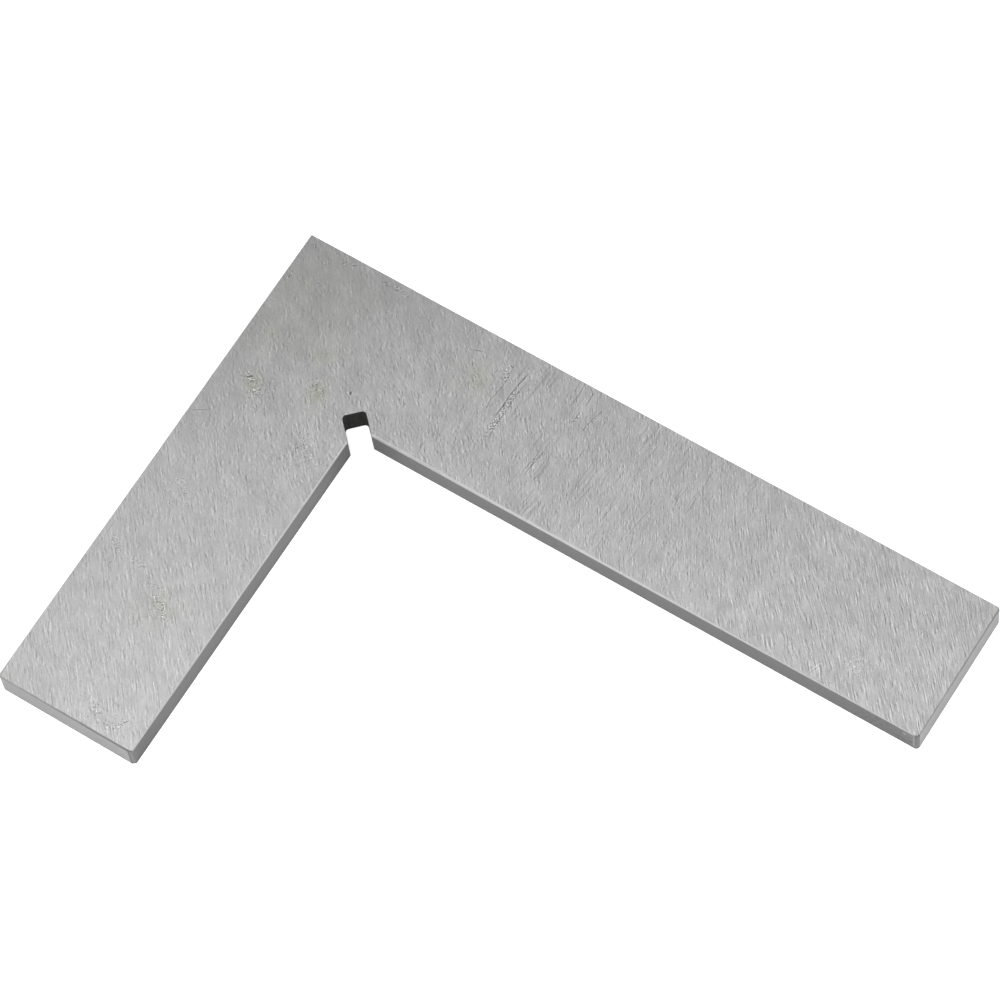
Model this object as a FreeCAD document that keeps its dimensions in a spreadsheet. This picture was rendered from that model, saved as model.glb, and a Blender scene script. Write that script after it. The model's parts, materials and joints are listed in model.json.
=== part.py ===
import FreeCAD, Part
import Sketcher
import math
import os

# A flat engineer's square: one L-shaped steel plate, used to check and mark right angles.
#
# Frame, in millimetres:
#   origin  the outer corner of the L, on the underside
#   +X      along the short leg
#   +Y      along the long leg
#   +Z      up through the thickness
#
# The outer edges lie on x = 0 and y = 0, the inner edges on x = leg_width and y = leg_width.
# A relief slot runs from the inner corner at 45 degrees towards the outer corner, so that burrs
# and dirt on a workpiece's corner don't hold it off the inner edges.

doc = FreeCAD.newDocument("flat_square")

# ---------------------------------------------------------------- driving dimensions
SIZES = [
    # alias, value, note
    ("long_leg", 100.0, "outer length of the long leg"),
    ("short_leg", 70.0, "outer length of the short leg"),
    ("leg_width", 19.65, "width of both legs"),
    ("plate_thick", 4.1, "thickness of the plate"),
    ("slot_width", 3.0, "width of the relief slot"),
    ("slot_depth", 2.0, "how far the slot's end lies past the inner corner"),
    ("slot_corner", 0.5, "radius in the two corners of the slot's end"),
    ("slot_mouth", 3.0, "how far the slot's cutter runs out into the open angle"),
    ("inner_break", 0.30, "45 degree break along the inner edges"),
    ("outer_break", 0.10, "45 degree break along the outer edges"),
    ("end_break", 0.22, "45 degree break along the leg ends"),
    ("tip_break", 0.45, "upright facet on the long leg's inner end corner"),
    ("nose_round", 0.25, "upright rounding on the short leg's inner end corner"),
    ("corner_round", 0.15, "upright rounding on the three outer corners"),
]
sheet = doc.addObject("Spreadsheet::Sheet", "sizes")
for row, (alias, value, note) in enumerate(SIZES, start=1):
    sheet.set("A%d" % row, note)
    sheet.set("B%d" % row, "%g" % value)
    sheet.setAlias("B%d" % row, alias)
doc.recompute()

size = {alias: value for alias, value, note in SIZES}
long_leg = size["long_leg"]
short_leg = size["short_leg"]
leg_width = size["leg_width"]
plate_thick = size["plate_thick"]

body = doc.addObject("PartDesign::Body", "square_body")
body.Label = "square_body"
doc.recompute()
xy_plane = [o for o in body.Origin.OriginFeatures if o.Role == "XY_Plane"][0]

# ---------------------------------------------------------------- helpers
# What Sketcher constraints call the parts of a sketch
ORIGIN = (-1, 1)
X_AXIS, Y_AXIS = -1, -2
START, END = 1, 2


def vec(x, y, z=0.0):
    return FreeCAD.Vector(x, y, z)


def near(first, second):
    return abs(first - second) < 1e-6


def new_sketch(name):
    sketch = body.newObject("Sketcher::SketchObject", name)
    sketch.AttachmentSupport = [(xy_plane, "")]
    sketch.MapMode = "FlatFace"
    return sketch


def add_line(sketch, start, end):
    return sketch.addGeometry(Part.LineSegment(start, end), False)


def quarter_arc(centre, radius, start):
    """A quarter circle, anticlockwise from a start angle in degrees."""
    circle = Part.Circle(centre, vec(0, 0, 1), radius)
    return Part.ArcOfCircle(circle, math.radians(start), math.radians(start + 90))


def constrain(sketch, *terms):
    return sketch.addConstraint(Sketcher.Constraint(*terms))


def dimension(sketch, name, expression, *terms):
    """Adds a named dimension to a sketch and binds it to the sheet."""
    sketch.renameConstraint(constrain(sketch, *terms), name)
    sketch.setExpression("Constraints." + name, expression)


def cut_through(name, sketch):
    """Pockets a sketch through the whole plate and returns the volume removed."""
    before = body.Shape.Volume
    pocket = body.newObject("PartDesign::Pocket", name)
    pocket.Profile = sketch
    pocket.Type = "ThroughAll"
    pocket.Reversed = True
    sketch.Visibility = False
    doc.recompute()
    return before - body.Shape.Volume


def flat_edges(test):
    """Names of the edges in the top or the underside whose two ends pass a plan test."""
    found = []
    for number, edge in enumerate(body.Shape.Edges, start=1):
        ends = [vertex.Point for vertex in edge.Vertexes]
        if len(ends) != 2 or not near(ends[0].z, ends[1].z):
            continue
        in_face = near(ends[0].z, 0) or near(ends[0].z, plate_thick)
        if in_face and all(test(point) for point in ends):
            found.append("Edge%d" % number)
    return found


def break_edges(name, alias, along_long_leg, along_short_leg):
    """Chamfers the top and underside edges picked by two plan tests."""
    edges = flat_edges(along_long_leg) + flat_edges(along_short_leg)
    if not edges:
        raise RuntimeError("no edges found for " + name)
    base = body.Tip
    chamfer = body.newObject("PartDesign::Chamfer", name)
    chamfer.Base = (base, edges)
    chamfer.setExpression("Size", "sizes." + alias)
    base.Visibility = False
    doc.recompute()
    failed = "Invalid" in chamfer.State or "Error" in chamfer.State
    if failed or chamfer.Shape.isNull() or not chamfer.Shape.isValid():
        raise RuntimeError("%s failed: %s" % (name, chamfer.State))


# ---------------------------------------------------------------- the L-shaped plate
def build_plate():
    tip = size["tip_break"]
    SIDES = [
        # start corner of each side, anticlockwise, and the direction the side is held to
        (vec(0, 0), "Horizontal"),  # 0 outer edge of the short leg
        (vec(short_leg, 0), "Vertical"),  # 1 end of the short leg
        (vec(short_leg, leg_width), "Horizontal"),  # 2 inner edge of the short leg
        (vec(leg_width, leg_width), "Vertical"),  # 3 inner edge of the long leg
        (vec(leg_width, long_leg - tip), None),  # 4 facet on the long leg's tip
        (vec(leg_width - tip, long_leg), "Horizontal"),  # 5 end of the long leg
        (vec(0, long_leg), "Vertical"),  # 6 outer edge of the long leg
    ]
    count = len(SIDES)
    outline = new_sketch("outline")
    for i in range(count):
        add_line(outline, SIDES[i][0], SIDES[(i + 1) % count][0])
    for i, (corner, direction) in enumerate(SIDES):
        constrain(outline, "Coincident", i, END, (i + 1) % count, START)
        if direction:
            constrain(outline, direction, i)
    constrain(outline, "Coincident", 0, START, *ORIGIN)
    DIMENSIONS = [
        # name, alias, kind, from (side, end), to (side, end)
        ("short_leg", "short_leg", "DistanceX", (0, START), (0, END)),
        ("short_leg_width", "leg_width", "DistanceY", (1, START), (1, END)),
        ("long_leg", "long_leg", "DistanceY", (6, END), (6, START)),
        ("long_leg_width", "leg_width", "DistanceX", ORIGIN, (3, START)),
        ("tip_across", "tip_break", "DistanceX", (4, END), (4, START)),
        ("tip_along", "tip_break", "DistanceY", (4, START), (4, END)),
    ]
    for name, alias, kind, start, end in DIMENSIONS:
        dimension(outline, name, "sizes." + alias, kind, *start, *end, size[alias])
    doc.recompute()

    plate = body.newObject("PartDesign::Pad", "plate")
    plate.Profile = outline
    plate.setExpression("Length", "sizes.plate_thick")
    outline.Visibility = False
    doc.recompute()


# ---------------------------------------------------------------- the relief slot
def cut_slot():
    """Cuts the slot on the legs' bisector, with a flat, round-cornered end and an open mouth."""
    width, depth, radius = size["slot_width"], size["slot_depth"], size["slot_corner"]
    half = width / 2
    run = depth + size["slot_mouth"]
    outward = vec(math.sqrt(0.5), math.sqrt(0.5))  # out of the slot, along the bisector
    across = vec(math.sqrt(0.5), -math.sqrt(0.5))  # towards the short leg
    end_middle = vec(leg_width, leg_width) - outward * depth

    def in_slot(distance, offset):
        """A point at a distance from the slot's end and an offset from its middle line."""
        return end_middle + outward * distance + across * offset

    sketch = new_sketch("slot_outline")
    end_line = add_line(sketch, in_slot(0, -half + radius), in_slot(0, half - radius))
    short_arc = sketch.addGeometry(quarter_arc(in_slot(radius, half - radius), radius, 225), False)
    short_side = add_line(sketch, in_slot(radius, half), in_slot(run, half))
    mouth = add_line(sketch, in_slot(run, half), in_slot(run, -half))
    long_side = add_line(sketch, in_slot(run, -half), in_slot(radius, -half))
    long_arc = sketch.addGeometry(quarter_arc(in_slot(radius, -half + radius), radius, 135), False)
    middle = sketch.addGeometry(Part.Point(end_middle), True)

    JOINTS = [
        ("Tangent", end_line, short_arc),
        ("Tangent", short_arc, short_side),
        ("Coincident", short_side, mouth),
        ("Coincident", mouth, long_side),
        ("Tangent", long_side, long_arc),
        ("Tangent", long_arc, end_line),
    ]
    for kind, first, second in JOINTS:
        constrain(sketch, kind, first, END, second, START)
    constrain(sketch, "Equal", short_arc, long_arc)
    constrain(sketch, "Perpendicular", short_side, mouth)
    constrain(sketch, "Perpendicular", end_line, short_side)
    constrain(sketch, "Parallel", short_side, long_side)
    constrain(sketch, "Angle", short_side, math.radians(45))
    constrain(sketch, "Symmetric", end_line, START, end_line, END, middle, START)
    dimension(sketch, "slot_corner", "sizes.slot_corner", "Radius", short_arc, radius)
    dimension(sketch, "slot_width", "sizes.slot_width", "Distance", mouth, width)
    run_rule = "sizes.slot_depth + sizes.slot_mouth - sizes.slot_corner"
    dimension(sketch, "slot_run", run_rule, "Distance", short_side, run - radius)
    end_rule = "sizes.leg_width - sizes.slot_depth / sqrt(2)"
    for name, kind, place in [
        ("end_x", "DistanceX", end_middle.x),
        ("end_y", "DistanceY", end_middle.y),
    ]:
        dimension(sketch, name, end_rule, kind, *ORIGIN, middle, START, place)
    doc.recompute()

    removed = cut_through("slot", sketch)
    # A rectangle slot_depth long, less its two rounded corners, plus the triangle where it
    # meets the two inner edges.
    area = width * depth - (2 - math.pi / 2) * radius**2 + half**2
    expected = area * plate_thick
    if abs(removed - expected) > 0.001 * expected:
        raise RuntimeError("the relief slot cut %.3f mm3, expected %.3f" % (removed, expected))


# ---------------------------------------------------------------- edge breaks
def break_flat_edges():
    """Breaks the top and underside edges alike."""
    # Where the slot's sides meet the inner edges, just short so that their ends count
    slot_limit = leg_width + size["slot_width"] / 2 * math.sqrt(2) - 1e-4
    break_edges(
        "inner_edges",
        "inner_break",
        lambda p: near(p.x, leg_width) and p.y > slot_limit,
        lambda p: near(p.y, leg_width) and p.x > slot_limit,
    )
    break_edges("outer_edges", "outer_break", lambda p: near(p.x, 0), lambda p: near(p.y, 0))
    # The short leg's end, then the long leg's
    break_edges(
        "end_edges", "end_break", lambda p: near(p.x, short_leg), lambda p: near(p.y, long_leg)
    )


# ---------------------------------------------------------------- eased upright corners
EASED = [
    # corner, aliases of its x and y (None is 0), arc's start angle, alias of its radius
    ("outer", None, None, 180, "corner_round"),
    ("short_end", "short_leg", None, 270, "corner_round"),
    ("nose", "short_leg", "leg_width", 0, "nose_round"),
    ("long_end", None, "long_leg", 90, "corner_round"),
]


def ease_corners():
    """Cuts the sliver between each sharp corner and an arc tangent to both faces."""
    sketch = new_sketch("corner_rounds")
    for label, x_alias, y_alias, start_angle, radius_alias in EASED:
        radius = size[radius_alias]
        corner = vec(size.get(x_alias, 0), size.get(y_alias, 0))
        # The plate lies on the low side of every corner that is off the axis
        inward = vec(-1 if x_alias else 1, -1 if y_alias else 1)
        arc_shape = quarter_arc(corner + inward * radius, radius, start_angle)
        first, last = arc_shape.StartPoint, arc_shape.EndPoint

        arc = sketch.addGeometry(arc_shape, False)
        to_corner = add_line(sketch, last, corner)
        from_corner = add_line(sketch, corner, first)
        constrain(sketch, "Tangent", arc, END, to_corner, START)
        constrain(sketch, "Coincident", to_corner, END, from_corner, START)
        constrain(sketch, "Tangent", from_corner, END, arc, START)
        for line, far_end in [(to_corner, last), (from_corner, first)]:
            upright = near(far_end.x, corner.x)
            constrain(sketch, "Vertical" if upright else "Horizontal", line)
        dimension(sketch, label + "_radius", "sizes." + radius_alias, "Radius", arc, radius)
        for suffix, kind, alias, axis in [
            ("_x", "DistanceX", x_alias, Y_AXIS),
            ("_y", "DistanceY", y_alias, X_AXIS),
        ]:
            if alias:
                terms = (kind, *ORIGIN, to_corner, END, size[alias])
                dimension(sketch, label + suffix, "sizes." + alias, *terms)
            else:
                constrain(sketch, "PointOnObject", to_corner, END, axis)
    doc.recompute()

    removed = cut_through("eased_corners", sketch)
    # The slivers are a little shorter than the plate is thick, because of the edge breaks.
    squares = sum(size[radius_alias] ** 2 for *_, radius_alias in EASED)
    full = (1 - math.pi / 4) * squares * plate_thick
    if not 0.8 * full < removed < 1.001 * full:
        raise RuntimeError("the rounds cut %.4f mm3, expected about %.4f" % (removed, full))


build_plate()
cut_slot()
break_flat_edges()
ease_corners()

# ---------------------------------------------------------------- state check and export
for obj in doc.Objects:
    if "Invalid" in obj.State or "Error" in obj.State:
        raise RuntimeError("%s is in state %s" % (obj.Name, obj.State))
if body.Shape.isNull() or not body.Shape.isValid() or len(body.Shape.Solids) != 1:
    raise RuntimeError("square_body isn't one valid solid")

os.makedirs("parts", exist_ok=True)
body.Shape.exportStep("parts/%s.step" % body.Label)
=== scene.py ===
# A flat steel square with two legs and a slot cut diagonally into its inner corner.
# It lies on the floor, outer corner at the origin: the short leg runs along +x, the long leg
# along +y, and the face that shows is up. Plate sizes are in millimetres, the scene in metres.
import json
import math

import bpy
import numpy as np
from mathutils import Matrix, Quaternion, Vector
from mathutils.geometry import delaunay_2d_cdt
from mathutils.kdtree import KDTree


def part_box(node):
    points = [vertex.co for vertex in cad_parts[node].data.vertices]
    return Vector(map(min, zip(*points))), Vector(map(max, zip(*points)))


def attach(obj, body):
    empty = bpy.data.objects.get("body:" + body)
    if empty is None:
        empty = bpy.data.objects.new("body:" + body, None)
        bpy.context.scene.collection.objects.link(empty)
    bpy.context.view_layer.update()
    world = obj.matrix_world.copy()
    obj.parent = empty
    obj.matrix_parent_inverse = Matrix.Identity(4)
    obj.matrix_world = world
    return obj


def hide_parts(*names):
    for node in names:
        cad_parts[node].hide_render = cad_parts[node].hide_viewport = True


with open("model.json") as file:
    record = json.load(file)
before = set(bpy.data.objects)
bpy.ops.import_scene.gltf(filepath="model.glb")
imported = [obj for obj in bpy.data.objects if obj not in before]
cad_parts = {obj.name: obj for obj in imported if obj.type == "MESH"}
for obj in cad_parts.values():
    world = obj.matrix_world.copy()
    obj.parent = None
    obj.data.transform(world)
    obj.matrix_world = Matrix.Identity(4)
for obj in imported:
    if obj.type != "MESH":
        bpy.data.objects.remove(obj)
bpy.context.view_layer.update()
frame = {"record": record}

# ------------------------------------------------------------------ sizes, in millimetres
MM = 0.001
body_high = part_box("square_body")[1]
SHORT, LONG, THICK = body_high.x * 1000, body_high.y * 1000, body_high.z * 1000
mounts = {mount["name"]: mount for mount in frame["record"]["mounts"]}
WIDTH = mounts["inner_long_edge"]["pos_m"][0] * 1000  # of both legs
SLOT_HALF, SLOT_DEPTH, SLOT_RADIUS = 1.5, 2.0, 0.5
LIP = 0.06  # the short leg's inner edge stands this much proud
# how far the facets, and the rounded tip, cut back each corner
CUT_CORNER, CUT_SHORT, CUT_NOSE, CUT_TIP, CUT_LONG = 0.12, 0.30, 0.36, 0.52, 0.28
FACE_SINK = 0.003  # both faces lie this far inside the nominal thickness
UNDER_BREAK = 0.06  # width of the eased edges underneath
MIN_BREAK = 0.03
# spacing of the samples on long and on short runs of the outline
SAMPLE_LONG, SAMPLE_SHORT, SHORT_RUN = 0.25, 0.12, 1.2
ARC_STEPS = 9


# ------------------------------------------------------------------ smooth noise
def random_table(seed, count):
    return np.random.default_rng(seed).uniform(-1, 1, count)


def fade(share):
    return share * share * (3 - 2 * share)


def noise_1d(s, wavelength, seed):
    """Smooth noise along a line, from -1 to 1."""
    table = random_table(seed, 4096)
    u = np.asarray(s, float) / wavelength + 7.3
    i = np.floor(u).astype(int)
    blend = u - i
    blend = fade(blend)
    return table[i % 4096] * (1 - blend) + table[(i + 1) % 4096] * blend


def noise_2d(x, y, wavelength, seed):
    """Smooth noise over the plane, from -1 to 1."""
    table = random_table(seed, 65536)
    u = np.asarray(x, float) / wavelength + 31.7
    v = np.asarray(y, float) / wavelength + 17.9
    i, j = np.floor(u).astype(int), np.floor(v).astype(int)
    blend_u, blend_v = fade(u - i), fade(v - j)

    def at(column, row):
        return table[(column * 73 + row * 1999) % 65536]

    near = at(i, j) * (1 - blend_u) + at(i + 1, j) * blend_u
    far = at(i, j + 1) * (1 - blend_u) + at(i + 1, j + 1) * blend_u
    return near * (1 - blend_v) + far * blend_v


def smooth_step(start, end, x):
    return fade(np.clip((np.asarray(x, float) - start) / (end - start), 0, 1))


# ------------------------------------------------------------------ outline
DIAGONAL = math.sqrt(0.5)
mouth = WIDTH + SLOT_HALF / DIAGONAL
mouth_short, mouth_long = np.array([mouth, WIDTH]), np.array([WIDTH, mouth])
inward = np.array([-DIAGONAL, -DIAGONAL])  # into the slot
across = np.array([-DIAGONAL, DIAGONAL])  # from the short leg's side of the slot to the long leg's
wall = SLOT_HALF + SLOT_DEPTH - SLOT_RADIUS
wall_short = mouth_short + inward * wall
wall_long = mouth_long + inward * wall
floor_short = wall_short + inward * SLOT_RADIUS + across * SLOT_RADIUS
floor_long = wall_long + inward * SLOT_RADIUS - across * SLOT_RADIUS
# Going round with the metal on the left:
# (tag, start, end) for a straight run, or (tag, centre, radius, start angle, end angle) for an arc
OUTLINE = [
    ("facet_corner", (0, CUT_CORNER), (CUT_CORNER, 0)),
    ("outer_short", (CUT_CORNER, 0), (SHORT - CUT_SHORT, 0)),
    ("facet_short", (SHORT - CUT_SHORT, 0), (SHORT, CUT_SHORT)),
    ("short_end", (SHORT, CUT_SHORT), (SHORT, WIDTH - CUT_NOSE)),
    ("facet_nose", (SHORT, WIDTH - CUT_NOSE), (SHORT - CUT_NOSE, WIDTH + LIP)),
    ("inner_short", (SHORT - CUT_NOSE, WIDTH + LIP), mouth_short + LIP),
    ("slot", mouth_short + LIP, wall_short),
    ("slot", wall_short + across * SLOT_RADIUS, SLOT_RADIUS, -45.0, -135.0),
    ("slot", floor_short, floor_long),
    ("slot", wall_long - across * SLOT_RADIUS, SLOT_RADIUS, -135.0, -225.0),
    ("slot", wall_long, mouth_long),
    ("inner_long", mouth_long, (WIDTH, LONG - CUT_TIP)),
    ("round_tip", (WIDTH - CUT_TIP, LONG - CUT_TIP), CUT_TIP, 0.0, 90.0),
    ("long_end", (WIDTH - CUT_TIP, LONG), (CUT_LONG, LONG)),
    ("facet_long", (CUT_LONG, LONG), (0, LONG - CUT_LONG)),
    ("outer_long", (0, LONG - CUT_LONG), (0, CUT_CORNER)),
]
# The eased edges. A hand-eased edge is widest beside the slot and fades towards the leg's end.
# tag: (width at start, width at end, height as a share of width, wander of the width)
BREAKS = {
    "facet_corner": (0.07, 0.07, 1.0, 0.0),
    "outer_short": (0.10, 0.11, 1.0, 0.03),
    "facet_short": (0.08, 0.08, 1.0, 0.0),
    "short_end": (0.16, 0.21, 1.0, 0.03),
    "facet_nose": (0.10, 0.10, 1.0, 0.0),
    "inner_short": (0.12, 0.17, 1.2, 0.015),
    "slot": (0.05, 0.05, 1.0, 0.01),
    "inner_long": (0.29, 0.11, 1.3, 0.015),
    "round_tip": (0.12, 0.12, 1.0, 0.0),
    "long_end": (0.15, 0.15, 1.0, 0.03),
    "facet_long": (0.09, 0.09, 1.0, 0.0),
    "outer_long": (0.11, 0.10, 1.0, 0.03),
}
# Small dents in the eased edges: tag, share along, width, extra width and extra height of the break
NICKS_TOP = [
    ("inner_long", 0.070, 0.5, 0.05, 0.05), ("inner_long", 0.215, 0.35, 0.07, 0.05),
    ("inner_long", 0.402, 0.6, 0.09, 0.06), ("inner_long", 0.574, 0.4, 0.10, 0.10),
    ("inner_long", 0.700, 0.3, 0.08, 0.06), ("inner_long", 0.835, 0.5, 0.08, 0.08),
    ("inner_long", 0.925, 0.35, 0.10, 0.12), ("inner_short", 0.130, 0.4, 0.08, 0.10),
    ("inner_short", 0.480, 0.35, 0.06, 0.05), ("inner_short", 0.800, 0.5, 0.05, 0.06),
    ("short_end", 0.27, 0.5, 0.10, 0.08), ("short_end", 0.50, 0.35, 0.08, 0.05),
    ("short_end", 0.63, 0.3, 0.10, 0.06), ("long_end", 0.22, 0.6, 0.07, 0.05),
    ("long_end", 0.47, 0.4, 0.06, 0.06), ("long_end", 0.71, 0.5, 0.08, 0.05),
    ("outer_long", 0.18, 0.5, 0.06, 0.05), ("outer_long", 0.55, 0.35, 0.08, 0.06),
    ("outer_long", 0.81, 0.4, 0.05, 0.05), ("outer_short", 0.35, 0.4, 0.05, 0.05),
    ("outer_short", 0.76, 0.5, 0.06, 0.05),
]
# The underside has the same dents, moved along
NICKS_UNDER = [(tag, (at * 0.73 + 0.19) % 1.0, *rest) for tag, at, *rest in NICKS_TOP]


class Edge:
    """One run of the outline, sampled, with the size of its break at every sample."""

    def __init__(self, index, tag, *shape):
        self.tag = tag
        self.straight = len(shape) == 2
        if self.straight:
            start, end = np.array(shape[0], float), np.array(shape[1], float)
            self.length = np.linalg.norm(end - start)
            pitch = SAMPLE_LONG if self.length > SHORT_RUN else SAMPLE_SHORT
            steps = max(1, int(round(self.length / pitch)))
            self.share = np.arange(steps + 1) / steps
            self.points = start + (end - start) * self.share[:, None]
            along = (end - start) / self.length
            self.normals = np.tile([-along[1], along[0]], (steps + 1, 1))
        else:
            centre, radius, first, last = shape
            self.share = np.arange(ARC_STEPS + 1) / ARC_STEPS
            angle = np.radians(first + (last - first) * self.share)
            radial = np.stack([np.cos(angle), np.sin(angle)], 1)
            self.points = np.asarray(centre) + radius * radial
            # the metal lies outside a slot's arc, and inside a rounded corner
            self.normals = radial if last < first else -radial
            self.length = abs(math.radians(last - first)) * radius
        self.breaks = {
            "top": self.break_size(*BREAKS[tag], 100 + index, NICKS_TOP),
            "under": self.break_size(
                UNDER_BREAK, UNDER_BREAK, *BREAKS[tag][2:], 300 + index, NICKS_UNDER
            ),
        }

    def break_size(self, first, last, height_share, wander, seed, nicks):
        """Width and height of the break at every sample."""
        s = self.share * self.length
        width = first + (last - first) * self.share
        wave = 0.6 * noise_1d(s, 5.0, seed) + 0.4 * noise_1d(s, 1.1, seed + 50)
        wave = wave * smooth_step(0, 0.8, s) * smooth_step(0, 0.8, self.length - s)
        width = width + wander * wave
        height = width * height_share + 0.3 * wander * noise_1d(s, 2.3, seed + 90)
        for tag, at, spread, extra_width, extra_height in nicks:
            if tag == self.tag:
                bump = np.exp(-(((s - at * self.length) / spread) ** 2))
                width = width + 0.4 * extra_width * bump
                height = height + 0.4 * extra_height * bump
        return np.maximum(width, MIN_BREAK), np.maximum(height, MIN_BREAK)


edges = [Edge(i, *run) for i, run in enumerate(OUTLINE)]


def inset_ring(side, share):
    """The outline moved into the metal by share of each sample's break width."""
    count = len(edges)
    starts, ends = [None] * count, [None] * count
    for i in range(count):
        edge, after = edges[i], edges[(i + 1) % count]
        inset = edge.breaks[side][0][-1] * share
        inset_after = after.breaks[side][0][0] * share
        normal, normal_after, point = edge.normals[-1], after.normals[0], edge.points[-1]
        cross = normal[0] * normal_after[1] - normal[1] * normal_after[0]
        if abs(cross) < 0.02:
            meet = point + normal * 0.5 * (inset + inset_after)
        else:  # where the two moved lines cross
            meet = point + np.linalg.solve(
                np.array([normal, normal_after]), np.array([inset, inset_after])
            )
        ends[i], starts[(i + 1) % count] = meet, meet
    ring = []
    for edge, start, end in zip(edges, starts, ends):
        inset = edge.breaks[side][0] * share
        if edge.straight:
            base = start + (end - start) * edge.share[:, None]
            lean = inset - (inset[0] + (inset[-1] - inset[0]) * edge.share)
            moved = base + edge.normals * lean[:, None]
        else:
            moved = edge.points + edge.normals * inset[:, None]
            moved[0], moved[-1] = start, end
        ring.append(moved[:-1])
    return np.concatenate(ring)


def ring_heights(side):
    """Height of the break at every sample of the ring."""
    heights = []
    for i, edge in enumerate(edges):
        height = edge.breaks[side][1].copy()
        height[0] = 0.5 * (height[0] + edges[i - 1].breaks[side][1][-1])
        heights.append(height[:-1])
    return np.concatenate(heights)


# ------------------------------------------------------------------ marks on the upper face, in plan
# Scratches: points, half width, depth in microns (below 0 is raised),
# how dark (below 0) or bright (above 0) the mark reads
SCRATCHES = [
    ([(2.4, 34.06), (4.25, 33.79), (6.19, 33.61), (8.09, 33.66), (9.87, 33.54)], 0.11, 22, -1.1),
    ([(4.6, 34.39), (6.49, 34.32), (8.36, 34.36), (11.03, 34.27), (12.91, 34.51)], 0.09, 20, -0.85),
    ([(1.45, 31.78), (4.34, 32.13), (5.77, 32.19), (7.91, 31.86), (10.14, 32.13)], 0.085, 16, -0.7),
    ([(3.9, 30.4), (5.22, 30.44)], 0.08, 12, -0.5),
    ([(0.46, 35.78), (1.31, 35.68)], 0.09, 14, -0.5),
    ([(0.41, 40.88), (1.98, 40.92), (3.77, 40.78)], 0.085, 16, -0.6),
    ([(3.77, 40.80), (6.54, 41.26)], 0.07, 10, -0.3),
    ([(0.66, 42.40), (1.76, 42.45), (2.61, 42.56)], 0.10, 18, -0.75),
    ([(3.62, 42.40), (4.82, 42.27), (5.45, 42.36)], 0.10, 18, -0.75),
    ([(2.15, 44.68), (3.9, 44.2), (5.98, 43.93)], 0.085, 16, -0.7),
    ([(2.4, 44.95), (4.3, 44.55)], 0.08, -8, 0.45),
    ([(10.45, 41.36), (12.29, 41.08), (13.4, 41.02), (14.59, 40.9)], 0.10, 22, -0.95),
    ([(10.8, 41.12), (12.5, 40.86), (14.2, 40.68)], 0.08, -10, 0.5),
    ([(15.4, 40.9), (17.3, 40.7)], 0.08, 12, -0.4),
    ([(7.65, 45.53), (9.73, 45.4)], 0.09, 14, -0.55),
    ([(6.56, 48.52), (8.0, 48.1), (9.39, 47.83)], 0.08, -8, 0.45),
    ([(6.9, 48.25), (9.6, 47.6)], 0.07, 10, -0.35),
    ([(17.11, 27.7), (18.0, 27.95), (18.82, 28.16)], 0.09, 14, -0.6),
    ([(2.78, 27.61), (3.1, 26.8), (3.37, 25.92)], 0.10, 14, -0.55),
    ([(4.89, 23.38), (6.14, 23.54)], 0.08, 12, -0.5),
    ([(3.59, 51.88), (5.94, 51.3)], 0.08, -8, 0.45),
    ([(3.5, 51.65), (5.6, 51.15)], 0.07, 10, -0.4),
    ([(11.98, 52.6), (14.77, 52.32)], 0.08, 14, -0.6),
    ([(0.61, 56.54), (2.45, 56.45)], 0.08, 12, -0.45),
    ([(5.7, 55.4), (7.62, 54.77)], 0.08, 12, -0.5),
    ([(5.74, 58.67), (7.1, 58.64), (8.46, 58.53)], 0.08, 14, -0.55),
    ([(6.1, 59.05), (8.1, 58.9)], 0.07, 10, -0.4),
    ([(9.27, 56.8), (11.2, 56.6), (13.02, 56.36), (15.0, 56.2), (16.75, 55.97)], 0.08, 14, -0.55),
    ([(11.09, 60.34), (12.67, 59.89)], 0.08, -8, 0.55),
    ([(14.56, 59.65), (15.39, 59.36)], 0.08, -8, 0.5),
    ([(18.31, 63.16), (19.35, 62.8)], 0.08, -8, 0.45),
    ([(17.22, 85.2), (17.6, 84.85), (18.04, 84.71), (19.2, 84.3)], 0.09, -12, 0.8),
    ([(17.27, 85.82), (17.9, 85.2), (18.6, 84.95)], 0.08, -10, 0.6),
    ([(17.35, 85.5), (18.1, 84.95), (19.0, 84.55)], 0.07, 12, -0.45),
    ([(4.5, 82.75), (4.9, 82.95)], 0.12, 14, -0.7),
    ([(8.85, 93.36), (8.0, 93.34), (7.28, 93.69), (7.32, 94.4), (7.92, 94.91)], 0.08, 8, -0.32),
    ([(10.16, 94.97), (10.5, 94.5)], 0.08, 8, -0.35),
    ([(21.12, 2.77), (20.8, 3.9), (20.44, 5.06)], 0.08, 12, -0.5),
    ([(20.75, 3.9), (20.3, 4.55)], 0.14, 20, -1.0),
    ([(15.85, 16.25), (16.3, 16.5)], 0.17, 18, -1.5),
    ([(28.1, 0.55), (27.5, 1.5), (27.03, 2.27)], 0.08, 12, -0.45),
    ([(68.65, 16.02), (67.6, 16.5), (66.55, 17.19)], 0.09, 14, -0.6),
    ([(68.9, 16.4), (67.9, 17.0)], 0.07, -8, 0.5),
    ([(39.5, 18.3), (38.0, 18.5)], 0.06, 8, -0.5),
    ([(38.9, 17.2), (37.8, 18.2)], 0.06, 8, -0.45),
    ([(50.0, 0.72), (47.2, 0.76), (44.7, 0.74)], 0.06, 8, -0.4),
    ([(44.0, 0.70), (41.6, 0.74), (39.6, 0.70)], 0.06, 8, -0.4),
]
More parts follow.
